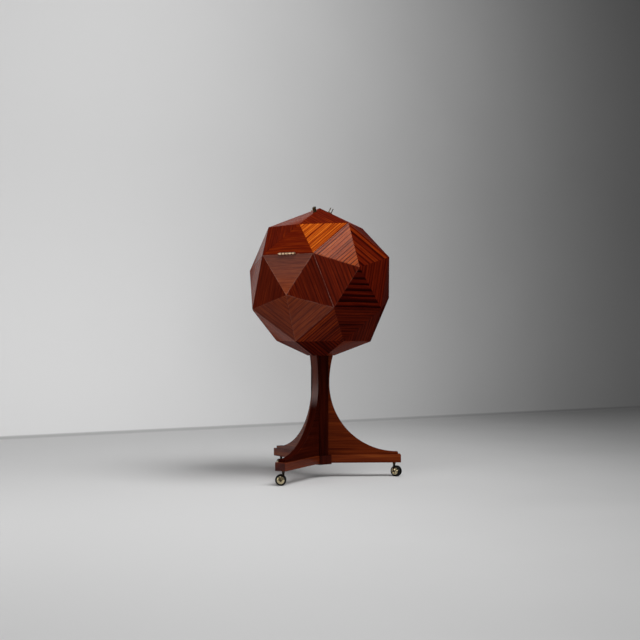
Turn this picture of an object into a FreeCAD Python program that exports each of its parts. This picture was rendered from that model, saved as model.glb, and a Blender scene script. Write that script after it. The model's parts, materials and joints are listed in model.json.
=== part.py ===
"""Polyhedron bar cabinet: a ball of sixty mitred boards with three hinged lids, on a finned pedestal.

Millimetres, +Z up. The origin is on the floor, under the pedestal's axis, and the front faces -Y.
What repeats three times round the axis is drawn once, on the +X side, and then turned into place.
"""

import FreeCAD
import Part
import math
import os

from FreeCAD import Vector

# Ball: a dodecahedron stood on one corner, with a low pyramid on each pentagon
EDGE = 250.0              # edge of the dodecahedron
RISE = 46.0               # height of each pyramid above its pentagon
BOARD = 15.0              # thickness of the triangular boards
ARRIS = 2.0               # how far the easing of the ball's outer edges reaches across a board
ARRIS_STEPS = 2           # flats of that easing on each board
LID_GAP = 0.6             # how far a lid's edges stand back from its neighbours
PEDESTAL_HEIGHT = 551.0   # level at which the ball is cut flat and meets the pedestal
SEAT_CUT = 26.3           # height of the bottom corner that is cut away there

# Inside the ball
BLOCK_HEIGHT = 40.0       # solid block that fills the bottom corner
FLOOR_RISE = 124.0        # top of the bottle floor above the pedestal
FLOOR_THICKNESS = 12.0
FLOOR_GAP = 0.4           # between the bottle floor's edge and the boards
CLEAT_LENGTH = 130.0
CLEAT_HEIGHT = 22.0
CLEAT_REACH = 24.0        # how far a cleat stands in under the bottle floor

# Hinges, in each lid's lower edge
HINGE_LENGTH = 80.0
KNUCKLES = 5
KNUCKLE_GAP = 0.3
KNUCKLE_EASE = 1.0        # chamfer at a knuckle's ends
BARREL_RADIUS = 5.0
BARREL_GAP = 0.3          # between the barrel and the boards' faces
LEAF = 1.6                # thickness of a leaf
LEAF_DEPTH = 13.0         # how far a leaf reaches into the mitre
LEAF_GAP = 0.4            # between the two closed leaves
MORTISE_GAP = 0.3         # round a leaf in its recess
PIN_RADIUS = 2.2
PIN_PLAY = 0.05
PIN_HEAD_RADIUS = 3.4
PIN_HEAD = 1.4
HINGE_SCREWS = 3
HINGE_SCREW_PITCH = 28.0
HINGE_SCREW_RADIUS = 1.5
HINGE_SCREW_HEAD = 2.9    # radius of the countersunk head
HINGE_SCREW_LENGTH = 16.0
SLOT = 0.8                # width of the slots in countersunk heads
SLOT_DEPTH = 0.7

# Pulls, on the ridge between each lid's middle and the top corner
PULL_FROM_TOP = 52.0      # along the ridge, from the top corner
PULL_HEIGHT = 22.0
PULL_PITCH = 12.0         # between the two blades
BLADE = 4.0               # thickness of a blade
BLADE_FOOT = 8.0          # width of a blade where it leaves its foot
BLADE_WAIST = 9.2         # width of a blade halfway up
BLADE_TOP = 14.0          # width of a blade at its tip
BLADE_ROUND = 0.8         # rounding of a blade's edges
PULL_FOOT = 2.4           # thickness of the foot over the ridge
PULL_FOOT_WIDTH = 11.0
PULL_FOOT_MARGIN = 2.0    # foot beyond the blades
PULL_SCREW_RADIUS = 1.6
PULL_SCREW_HEAD = 2.8
PULL_SCREW_LENGTH = 15.0

# Pedestal
COLUMN_FLATS = 77.0       # six-sided column, across its flats
COLUMN_ROUND = 1.5        # rounding of the upright edges of column and hub
FIN = 33.0                # thickness of the three fins
FIN_TOP_REACH = 60.0      # from the axis, under the ball
FIN_WAIST_REACH = 43.5    # from the axis, at the narrowest
FIN_WAIST_DROP = 126.0    # waist below the pedestal's top
FIN_TOE_INSET = 13.0      # fin's toe from the beam's end
FIN_TOE = 11.5            # height of the blunt toe above the beam
FIN_EASE = 1.2            # chamfer of the fin's curved edges
BEAM_TOP = 100.0          # level of the beams' upper faces
BEAM_HEIGHT = 36.0
BEAM_WIDTH = 52.0
BEAM_REACH = 370.0        # beam's end, from the axis
BEAM_ROUND = 4.0          # rounding of the beam's end
BEAM_EASE = 1.2           # rounding of the beam's long edges
HUB_FLATS = 105.0         # six-sided hub, across its flats
HUB_DROP = 5.0            # hub below the beams' undersides
DOWEL_RADIUS = 5.0
DOWEL_LENGTH = 40.0
DOWEL_PLAY = 0.05
FIN_DOWELS = 3
FIN_DOWEL_FIRST = 40.0    # lowest fin dowel above the beam
FIN_DOWEL_PITCH = 50.0
BEAM_DOWEL_PITCH = 26.0

# Screws that join ball, column and hub
SCREW_RADIUS = 4.0
SCREW_HEAD_FLATS = 13.0
SCREW_HEAD = 5.5
SCREW_LENGTH = 100.0
SCREW_CIRCLE = 13.0       # from the axis
WASHER_RADIUS = 9.0
WASHER = 1.6
BOLT_RADIUS = 6.0
BOLT_HEAD_FLATS = 19.0
BOLT_HEAD = 8.0
BOLT_LENGTH = 110.0
BOLT_WASHER_RADIUS = 15.0
BOLT_WASHER = 2.5
COUNTERBORE_GAP = 1.0     # round the bolt's washer
SCREW_PLAY = 0.1          # round shanks in their holes

# Casters
CASTER_INSET = 29.0       # stem's axis from the beam's end
WHEEL_RADIUS = 24.0
TRAIL = 11.0              # axle behind the stem
CASTER_HEADINGS = (207.0, 352.0, 140.0)   # way each caster trails, about +Z from +X
STEM_RADIUS = 5.0
STEM_LENGTH = 28.0        # inside the socket
STEM_PLAY = 0.05
SOCKET_WALL = 2.4
SOCKET_END = 3.0          # socket's closed end above the stem
FLANGE_RADIUS = 11.0
FLANGE = 2.0
SWIVEL_GAP = 0.3          # between the horn's shoulder and the flange
SHOULDER_RADIUS = 7.5     # top of the horn's tapered shoulder
NECK_RADIUS = 4.8         # foot of the shoulder
WEB = 7.0                 # thickness of the horn between the wheel's halves
WEB_INSET = 3.5           # horn's rim inside the tread
WHEEL_GAP = 0.6           # between horn and wheel
AXLE_RADIUS = 3.0
AXLE_PLAY = 0.05
AXLE_SEAT = 0.02          # round the axle in the wheel
AXLE_DEPTH = 9.0          # how far the axle reaches into each half
RIM_RADIUS = 16.8         # seat of the tyre
TYRE_WIDTH = 10.0
TYRE_ROUND = 1.6          # inner shoulder of the tyre
TREAD_FLAT = 3.0          # flat of the tread beside the inner shoulder
TYRE_LEAN = 0.7           # share of the outer shoulder's width at which
TYRE_DROP = 0.25          # it has come down by this share of the tyre's depth
DOME = 6.0                # rise of the brass dome beyond the tyre
BUTTON_RADIUS = 10.5      # sunk middle of the dome
BUTTON_STEP = 0.8         # how far it is sunk
CAP_RADIUS = 3.0          # flat at the middle of the button

UP = Vector(0, 0, 1)
ORIGIN = Vector(0, 0, 0)
SIDES = (1, 2, 3)

GOLDEN = (1 + math.sqrt(5)) / 2
CORNER_RADIUS = EDGE * math.sqrt(3) * GOLDEN / 2
PENTAGON_DISTANCE = EDGE / 2 * math.sqrt((25 + 11 * math.sqrt(5)) / 10)
APEX_RADIUS = PENTAGON_DISTANCE + RISE
PENTAGON_INRADIUS = EDGE / (2 * math.tan(math.pi / 5))
BOARD_HEIGHT = math.hypot(PENTAGON_INRADIUS, RISE)
FACE_DISTANCE = APEX_RADIUS * PENTAGON_INRADIUS / BOARD_HEIGHT
HOLLOW = (FACE_DISTANCE - BOARD) / FACE_DISTANCE
BALL_HEIGHT = PEDESTAL_HEIGHT + CORNER_RADIUS - SEAT_CUT
CENTRE = Vector(0, 0, BALL_HEIGHT)

# Half the bend between two boards: across a pentagon's edge, and across a ridge of its pyramid
SLOPE = math.atan2(RISE, PENTAGON_INRADIUS)
EDGE_BEND = math.atan(2) / 2 - SLOPE
RIDGE_BEND = math.asin(math.sin(SLOPE) * math.sin(math.pi / 5))
ARRIS_RADIUS = ARRIS / math.tan(EDGE_BEND)


def moved(shape, placement):
    """A copy of the shape, carried by the placement."""
    return shape.transformed(placement.toMatrix(), True)


def turned(shape, degrees):
    """A copy of the shape, turned about the pedestal's axis."""
    return moved(shape, FreeCAD.Placement(ORIGIN, FreeCAD.Rotation(UP, degrees)))


def side_angle(side):
    """Direction of leg and lid number side, about +Z from +X: the first faces -Y."""
    return 120.0 * (side - 1) - 90.0


def solid(faces):
    """A solid bounded by flat polygons."""
    shell = Part.Shell([Part.Face(Part.makePolygon(f + [f[0]])) for f in faces])
    shell.sewShape()
    body = Part.Solid(shell)
    if body.Volume < 0:
        body.reverse()
    return body


def block(x0, x1, y0, y1, z0, z1):
    """A box between the given limits."""
    return Part.makeBox(x1 - x0, y1 - y0, z1 - z0, Vector(x0, y0, z0))


def rod(radius, z0, z1, x=0.0):
    """An upright cylinder."""
    return Part.makeCylinder(radius, z1 - z0, Vector(x, 0, z0), UP)


def cross_rod(radius, length, x=0.0, z=0.0):
    """A cylinder along Y, centred on y = 0."""
    return Part.makeCylinder(radius, length, Vector(x, -length / 2, z), Vector(0, 1, 0))


def hexagon(flats, z0, z1):
    """An upright six-sided prism, with a flat facing +X."""
    radius = flats / math.sqrt(3)
    ring = [math.radians(30 + 60 * k) for k in range(6)]
    points = [Vector(radius * math.cos(a), radius * math.sin(a), z0) for a in ring]
    return Part.Face(Part.makePolygon(points + [points[0]])).extrude(UP * (z1 - z0))


def post(flats, z0, z1):
    """A six-sided prism with rounded upright edges."""
    shape = hexagon(flats, z0, z1)
    upright = [e for e in shape.Edges if e.BoundBox.ZLength > (z1 - z0) / 2]
    return shape.makeFillet(COLUMN_ROUND, upright)


def profile(edges):
    """A face from edges that close in order."""
    return Part.Face(Part.Wire(edges))


def line(a, b):
    return Part.LineSegment(a, b).toShape()


def arc(a, b, c):
    return Part.Arc(a, b, c).toShape()


def countersunk(radius, head, length):
    """A countersunk screw that points to +Z, with the flat of its head at z = 0."""
    cone = Part.makeCone(head, radius, head - radius)
    return cone.fuse(rod(radius, head - radius, length)).removeSplitter()


def slotted(screw, head):
    """The same screw with a slot across its head."""
    return screw.cut(block(-head, head, -SLOT / 2, SLOT / 2, 0, SLOT_DEPTH))


# The ball's corners and panels, about its centre

def corner(degrees, level):
    """A corner of the dodecahedron at this level, as a share of its radius, in this direction."""
    reach = CORNER_RADIUS * math.sqrt(1 - level * level)
    angle = math.radians(degrees)
    return Vector(reach * math.cos(angle), reach * math.sin(angle), CORNER_RADIUS * level)


SHOULDER_LEVEL = math.sqrt(5) / 3
WAIST_LEVEL = 1 / 3
SPREAD = math.degrees(math.asin(EDGE / 2 / (CORNER_RADIUS * math.sqrt(8) / 3)))

# Each panel's corners run anticlockwise, seen from outside. A lid starts at the top corner, and its
# third edge has the hinge.
LID = [
    corner(0, 1.0),
    corner(-60, SHOULDER_LEVEL),
    corner(-SPREAD, WAIST_LEVEL),
    corner(SPREAD, WAIST_LEVEL),
    corner(60, SHOULDER_LEVEL),
]
# An upper panel lies between two lids, so it is drawn at 180 degrees. The lower half of the ball is
# the upper half carried through the centre, with the corners still running the same way round.
UPPER = [
    corner(180, SHOULDER_LEVEL),
    corner(120 + SPREAD, WAIST_LEVEL),
    corner(180 - SPREAD, -WAIST_LEVEL),
    corner(180 + SPREAD, -WAIST_LEVEL),
    corner(240 - SPREAD, WAIST_LEVEL),
]
LOWER = [UPPER[-k] * -1 for k in range(5)]
BASE = [LID[-k] * -1 for k in range(5)]


def apex(panel):
    """The tip of the pyramid on a pentagon."""
    middle = sum(panel, Vector()) * (1 / len(panel))
    return middle * (APEX_RADIUS / middle.Length)


def meet(one, two, three):
    """The point common to three planes, each given by its normal and its distance from the centre."""
    (a, p), (b, q), (c, r) = one, two, three
    return (b.cross(c) * p + c.cross(a) * q + a.cross(b) * r) * (1 / a.dot(b.cross(c)))


def board(tip, a, b):
    """One triangular board. Its mitres point at the ball's centre, and its outer edges are eased.

    The easing is an arc in a few flats. It ends square to the mitre, so two boards make one round arris.
    """
    corners = [tip, a, b]
    face = (a - tip).cross(b - tip).normalize()
    distance = face.dot(tip)
    mitres = [p.cross(q).normalize() for p, q in zip(corners, corners[1:] + corners[:1])]
    rings = [[p * HOLLOW for p in corners]]
    for step in range(ARRIS_STEPS + 1):
        lean = EDGE_BEND * step / ARRIS_STEPS
        depth = ARRIS_RADIUS * (1 - math.cos(EDGE_BEND - lean))
        inset = ARRIS_RADIUS * math.sin(lean)
        ridge_inset = inset * EDGE_BEND / RIDGE_BEND
        sides = list(zip(mitres, (ridge_inset, inset, ridge_inset)))
        level = (face, distance - depth)
        rings.append([meet(level, sides[k - 1], sides[k]) for k in range(3)])
    faces = [rings[0][::-1], rings[-1]]
    for low, high in zip(rings, rings[1:]):
        for k in range(3):
            n = (k + 1) % 3
            faces.append([low[k], low[n], high[n], high[k]])
    shape = solid(faces)
    shape.translate(CENTRE)
    return shape


def boards(panel, stand_back=0.0):
    """The five boards of one panel, with the pentagon's edges this far back."""
    tip = apex(panel)
    share = stand_back / BOARD_HEIGHT
    feet = [p + (tip - p) * share for p in panel]
    return [board(tip, a, b) for a, b in zip(feet, feet[1:] + feet[:1])]


def hollow(gap=0.0):
    """The space inside the boards, as one solid, this far clear of them."""
    share = HOLLOW - gap / FACE_DISTANCE
    faces = []
    for panel in (LID, UPPER, LOWER, BASE):
        tip = apex(panel)
        for a, b in zip(panel, panel[1:] + panel[:1]):
            for side in SIDES:
                turn = FreeCAD.Rotation(UP, 120.0 * side)
                faces.append([turn.multVec(p) * share for p in (tip, a, b)])
    shape = solid(faces)
    shape.translate(CENTRE)
    return shape


# Hinge: drawn with its edge along Y through the origin, +X out of the ball, +Z towards the lid

HINGE_EDGE = (LID[2] + LID[3]) * 0.5
HINGE_TILT = math.degrees(math.atan2(HINGE_EDGE.z, HINGE_EDGE.x))
HINGE_PLACE = FreeCAD.Placement(
    CENTRE + HINGE_EDGE, FreeCAD.Rotation(Vector(0, 1, 0), -HINGE_TILT))
EDGE_ANGLE = (apex(LID) - HINGE_EDGE).getAngle(HINGE_EDGE * -1)
BARREL_OUT = (BARREL_RADIUS + BARREL_GAP) / math.sin(EDGE_ANGLE)
KNUCKLE = (HINGE_LENGTH - (KNUCKLES - 1) * KNUCKLE_GAP) / KNUCKLES
LEAF_FACE = LEAF_GAP / 2
LEAF_BACK = LEAF_FACE + LEAF
SCREW_ROW = [HINGE_SCREW_PITCH * (k - (HINGE_SCREWS - 1) / 2) for k in range(HINGE_SCREWS)]


def upper_leaf(first_knuckle):
    """A leaf on the +Z side, with every second knuckle from the given one."""
    half = HINGE_LENGTH / 2
    plate_end = BARREL_OUT - BARREL_RADIUS - KNUCKLE_GAP
    leaf = block(-LEAF_DEPTH, plate_end, -half, half, LEAF_FACE, LEAF_BACK)
    for k in range(first_knuckle, KNUCKLES, 2):
        y0 = -half + k * (KNUCKLE + KNUCKLE_GAP)
        tab = block(plate_end, BARREL_OUT, y0, y0 + KNUCKLE, LEAF_FACE, LEAF_BACK)
        barrel = Part.makeCylinder(BARREL_RADIUS, KNUCKLE, Vector(BARREL_OUT, y0, 0), Vector(0, 1, 0))
        ends = [e for e in barrel.Edges if isinstance(e.Curve, Part.Circle)]
        leaf = leaf.fuse([tab, barrel.makeChamfer(KNUCKLE_EASE, ends)])
    leaf = leaf.cut(cross_rod(PIN_RADIUS + PIN_PLAY, HINGE_LENGTH + 2, BARREL_OUT))
    return leaf.cut(leaf_holes()).removeSplitter()


def leaf_holes():
    """The holes of the leaf on the +Z side, as plain screws."""
    return screw_row(countersunk(HINGE_SCREW_RADIUS, HINGE_SCREW_HEAD, HINGE_SCREW_LENGTH))


def leaf_screws():
    """The screws of the leaf on the +Z side."""
    screw = countersunk(HINGE_SCREW_RADIUS, HINGE_SCREW_HEAD, HINGE_SCREW_LENGTH)
    return screw_row(slotted(screw, HINGE_SCREW_HEAD))


def screw_row(screw):
    """A screw at each place in the leaf on the +Z side."""
    made = []
    for y in SCREW_ROW:
        one = screw.copy()
        one.translate(Vector(-LEAF_DEPTH / 2, y, LEAF_FACE))
        made.append(one)
    return made


def mortise():
    """The recess of the leaf on the +Z side, open towards the barrel."""
    half = HINGE_LENGTH / 2 + MORTISE_GAP
    return block(-LEAF_DEPTH - MORTISE_GAP, BARREL_OUT, -half, half, -LEAF_BACK, LEAF_BACK)


def hinge_pin():
    """The pin, with a button at each end."""
    reach = HINGE_LENGTH / 2 + KNUCKLE_GAP
    pin = cross_rod(PIN_RADIUS, 2 * reach + 2 * PIN_HEAD, BARREL_OUT)
    for y in (reach, -reach - PIN_HEAD):
        head = Part.makeCylinder(PIN_HEAD_RADIUS, PIN_HEAD, Vector(BARREL_OUT, y, 0), Vector(0, 1, 0))
        pin = pin.fuse(head)
    return pin.removeSplitter()


def flipped(shape):
    """A hinge piece carried to the body's side of the mitre."""
    return moved(shape, FreeCAD.Placement(ORIGIN, FreeCAD.Rotation(Vector(1, 0, 0), 180)))


def at_hinge(shape):
    return moved(shape, HINGE_PLACE)


# Pull: drawn with the ridge along X through the origin, +Z out of the lid

RIDGE = apex(LID) - LID[0]
PULL_PLACE = FreeCAD.Placement(
    CENTRE + LID[0] + RIDGE * (PULL_FROM_TOP / RIDGE.Length),
    FreeCAD.Rotation(Vector(0, 1, 0), math.degrees(math.atan2(-RIDGE.z, RIDGE.x))))


def pull():
    """Two fishtail blades across the ridge, on one foot."""
    foot, waist, tip = BLADE_FOOT / 2, BLADE_WAIST / 2, BLADE_TOP / 2
    knee = PULL_HEIGHT / 2
    sides = [
        line(Vector(0, -foot, 0), Vector(0, foot, 0)),
        arc(Vector(0, foot, 0), Vector(0, waist, knee), Vector(0, tip, PULL_HEIGHT)),
        line(Vector(0, tip, PULL_HEIGHT), Vector(0, -tip, PULL_HEIGHT)),
        arc(Vector(0, -tip, PULL_HEIGHT), Vector(0, -waist, knee), Vector(0, -foot, 0)),
    ]
    blade = profile(sides).extrude(Vector(BLADE, 0, 0))
    blade = blade.makeFillet(BLADE_ROUND, [e for e in blade.Edges if e.BoundBox.ZMax > knee])
    half = PULL_PITCH / 2 + BLADE / 2 + PULL_FOOT_MARGIN
    width = PULL_FOOT_WIDTH / 2
    shape = block(-half, half, -width, width, -BOARD / 2, PULL_FOOT)
    for x in (-PULL_PITCH / 2, PULL_PITCH / 2):
        one = blade.copy()
        one.translate(Vector(x - BLADE / 2, 0, 0))
        shape = shape.fuse(one)
    return shape.removeSplitter()


def pull_screw():
    """The screw that holds a pull, drawn head up between the blades."""
    screw = countersunk(PULL_SCREW_RADIUS, PULL_SCREW_HEAD, PULL_SCREW_LENGTH)
    down = FreeCAD.Placement(Vector(0, 0, PULL_FOOT), FreeCAD.Rotation(Vector(1, 0, 0), 180))
    return moved(screw, down), moved(slotted(screw, PULL_SCREW_HEAD), down)


# Pedestal: a leg is drawn along +X

COLUMN_FACE = COLUMN_FLATS / 2
HUB_FACE = HUB_FLATS / 2
FIN_FOOT_REACH = BEAM_REACH - FIN_TOE_INSET
CASTER_REACH = BEAM_REACH - CASTER_INSET
BEAM_FOOT = BEAM_TOP - BEAM_HEIGHT
HUB_FOOT = BEAM_FOOT - HUB_DROP
SOCKET_RADIUS = STEM_RADIUS + STEM_PLAY + SOCKET_WALL
STEM_TOP = BEAM_FOOT + STEM_LENGTH
SOCKET_TOP = STEM_TOP + SOCKET_END


def waist_arc(end):
    """The arc from a fin's waist, where it is upright, to the given point."""
    waist = Vector(FIN_WAIST_REACH, 0, PEDESTAL_HEIGHT - FIN_WAIST_DROP)
    step = end - waist
    radius = (step.x ** 2 + step.z ** 2) / (2 * step.x)
    half = math.atan2(step.z, radius - step.x) / 2
    middle = waist + Vector(radius * (1 - math.cos(half)), 0, radius * math.sin(half))
    return arc(waist, middle, end)


def fin():
    """A fin that flares from its waist up to the ball and out along the beam."""
    top = Vector(FIN_TOP_REACH, 0, PEDESTAL_HEIGHT)
    toe = Vector(FIN_FOOT_REACH, 0, BEAM_TOP + FIN_TOE)
    heel = Vector(FIN_FOOT_REACH, 0, BEAM_TOP)
    root = Vector(COLUMN_FACE, 0, BEAM_TOP)
    head = Vector(COLUMN_FACE, 0, PEDESTAL_HEIGHT)
    outline = [line(head, top), waist_arc(top), waist_arc(toe)]
    outline += [line(toe, heel), line(heel, root), line(root, head)]
    shape = Part.Face(Part.Wire(Part.__sortEdges__(outline))).extrude(Vector(0, FIN, 0))
    shape.translate(Vector(0, -FIN / 2, 0))
    curved = [e for e in shape.Edges if isinstance(e.Curve, Part.Circle)]
    return shape.makeChamfer(FIN_EASE, curved)


def dowel(x, y, z, play=0.0):
    """A dowel along X, centred on the point."""
    half = DOWEL_LENGTH / 2 + play
    return Part.makeCylinder(DOWEL_RADIUS + play, 2 * half, Vector(x - half, y, z), Vector(1, 0, 0))


def fin_dowels(play=0.0):
    heights = [BEAM_TOP + FIN_DOWEL_FIRST + FIN_DOWEL_PITCH * k for k in range(FIN_DOWELS)]
    return [dowel(COLUMN_FACE, 0, z, play) for z in heights]


def beam_dowels(play=0.0):
    middle = BEAM_TOP - BEAM_HEIGHT / 2
    return [dowel(HUB_FACE, y, middle, play) for y in (-BEAM_DOWEL_PITCH / 2, BEAM_DOWEL_PITCH / 2)]


def beam():
    """A foot beam with a rounded end and a bore for its caster's socket."""
    shape = block(HUB_FACE, BEAM_REACH, -BEAM_WIDTH / 2, BEAM_WIDTH / 2, BEAM_FOOT, BEAM_TOP)
    outer = [e for e in shape.Edges if e.BoundBox.XMax > HUB_FACE + BEAM_EASE]
    upright = [e for e in outer if e.BoundBox.ZLength > BEAM_EASE]
    shape = shape.makeFillet(BEAM_ROUND, upright)
    outer = [e for e in shape.Edges if e.BoundBox.XMax > HUB_FACE + BEAM_EASE]
    level = [e for e in outer if e.BoundBox.ZLength < BEAM_EASE]
    shape = shape.makeFillet(BEAM_EASE, level)
    bore = rod(SOCKET_RADIUS, BEAM_FOOT, SOCKET_TOP, CASTER_REACH)
    return shape.cut([bore] + beam_dowels(DOWEL_PLAY))


def in_three(shapes):
    """Every shape at each of the three legs."""
    return [turned(s, 120.0 * k) for k in range(3) for s in shapes]


def hex_screw(radius, length, flats, head, point):
    """A hexagon-headed screw along +Z, its head's seat at z = 0 and the head on the -Z side."""
    shape = rod(radius, 0, length - point).fuse(hexagon(flats, -head, 0))
    tip = Part.makeCone(radius, radius / 2, point, Vector(0, 0, length - point), UP)
    return shape.fuse(tip).removeSplitter()


# Casters: drawn with the stem on the Z axis, trailing towards +X

SHOULDER_TOP = BEAM_FOOT - FLANGE - SWIVEL_GAP
WHEEL_FACE = WEB / 2 + WHEEL_GAP
TYRE_FACE = WHEEL_FACE + TYRE_WIDTH
SHOULDER_FOOT = 2 * WHEEL_RADIUS + WHEEL_GAP


def socket():
    """A flanged socket, open below."""
    flange_foot = BEAM_FOOT - FLANGE
    shape = rod(SOCKET_RADIUS, BEAM_FOOT, SOCKET_TOP).fuse(rod(FLANGE_RADIUS, flange_foot, BEAM_FOOT))
    return shape.cut(rod(STEM_RADIUS + STEM_PLAY, flange_foot, STEM_TOP + STEM_PLAY)).removeSplitter()


def horn():
    """A flat horn between the wheel's halves, under a round shoulder and the swivel stem."""
    rim = WHEEL_RADIUS - WEB_INSET
    web = cross_rod(rim, WEB, TRAIL, WHEEL_RADIUS)
    neck = block(-NECK_RADIUS, TRAIL, -WEB / 2, WEB / 2, WHEEL_RADIUS, SHOULDER_FOOT)
    rise = SHOULDER_TOP - SHOULDER_FOOT
    shoulder = Part.makeCone(NECK_RADIUS, SHOULDER_RADIUS, rise, Vector(0, 0, SHOULDER_FOOT), UP)
    shape = web.fuse([neck, shoulder])
    shape = shape.fuse(rod(STEM_RADIUS, SHOULDER_TOP, STEM_TOP))
    return shape.cut(cross_rod(AXLE_RADIUS + AXLE_PLAY, WEB + 2, TRAIL, WHEEL_RADIUS)).removeSplitter()


def axle():
    return cross_rod(AXLE_RADIUS, 2 * (WHEEL_FACE + AXLE_DEPTH), TRAIL, WHEEL_RADIUS)


def spun(edges):
    """Both halves of a wheel piece: a half profile in radius and Y, turned about the axle."""
    half = profile(edges).revolve(ORIGIN, Vector(0, 1, 0), 360)
    other = moved(half, FreeCAD.Placement(ORIGIN, FreeCAD.Rotation(UP, 180)))
    for shape in (half, other):
        shape.translate(Vector(TRAIL, 0, WHEEL_RADIUS))
    return [half, other]


def wheel():
    """Two brass halves, each with a stepped dome outside and a blind bore for the axle."""
    bore = AXLE_RADIUS + AXLE_SEAT
    depth = WHEEL_FACE + AXLE_DEPTH + AXLE_SEAT
    sphere = (RIM_RADIUS ** 2 + DOME ** 2) / (2 * DOME)
    pole = TYRE_FACE + DOME - sphere
    reaches = (RIM_RADIUS, (RIM_RADIUS + BUTTON_RADIUS) / 2, BUTTON_RADIUS)
    dome = [Vector(r, pole + math.sqrt(sphere ** 2 - r ** 2), 0) for r in reaches]
    pole -= BUTTON_STEP
    reaches = (BUTTON_RADIUS, (BUTTON_RADIUS + CAP_RADIUS) / 2, CAP_RADIUS)
    button = [Vector(r, pole + math.sqrt(sphere ** 2 - r ** 2), 0) for r in reaches]
    inner = Vector(bore, WHEEL_FACE, 0)
    outer = Vector(RIM_RADIUS, WHEEL_FACE, 0)
    edges = [line(inner, outer), line(outer, dome[0]), arc(*dome), line(dome[2], button[0]), arc(*button)]
    rest = [button[2], Vector(0, button[2].y, 0), Vector(0, depth, 0), Vector(bore, depth, 0), inner]
    edges += [line(a, b) for a, b in zip(rest, rest[1:])]
    return spun(edges)


def tyre():
    """Two rubber rings, whose outer shoulders fall away towards the domes."""
    inner = WHEEL_FACE + TYRE_ROUND
    flat = inner + TREAD_FLAT
    depth = WHEEL_RADIUS - RIM_RADIUS
    lean = Vector(WHEEL_RADIUS - depth * TYRE_DROP, flat + (TYRE_FACE - flat) * TYRE_LEAN, 0)
    soft = TYRE_ROUND * (1 - math.sqrt(0.5))
    points = [
        Vector(RIM_RADIUS, WHEEL_FACE, 0),
        Vector(WHEEL_RADIUS - TYRE_ROUND, WHEEL_FACE, 0),
        Vector(WHEEL_RADIUS, inner, 0),
        Vector(WHEEL_RADIUS, flat, 0),
        Vector(RIM_RADIUS, TYRE_FACE, 0),
    ]
    edges = [line(points[0], points[1])]
    edges.append(arc(points[1], Vector(WHEEL_RADIUS - soft, WHEEL_FACE + soft, 0), points[2]))
    edges += [line(points[2], points[3]), arc(points[3], lean, points[4]), line(points[4], points[0])]
    return spun(edges)


def save(name, shapes):
    """Write one node from its solids."""
    shapes = [s for shape in shapes for s in shape.Solids]
    whole = shapes[0] if len(shapes) == 1 else Part.makeCompound(shapes)
    for s in shapes:
        if not s.isValid():
            raise ValueError(name + " has a solid that isn't valid")
    whole.exportStep(os.path.join("parts", name + ".step"))


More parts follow.
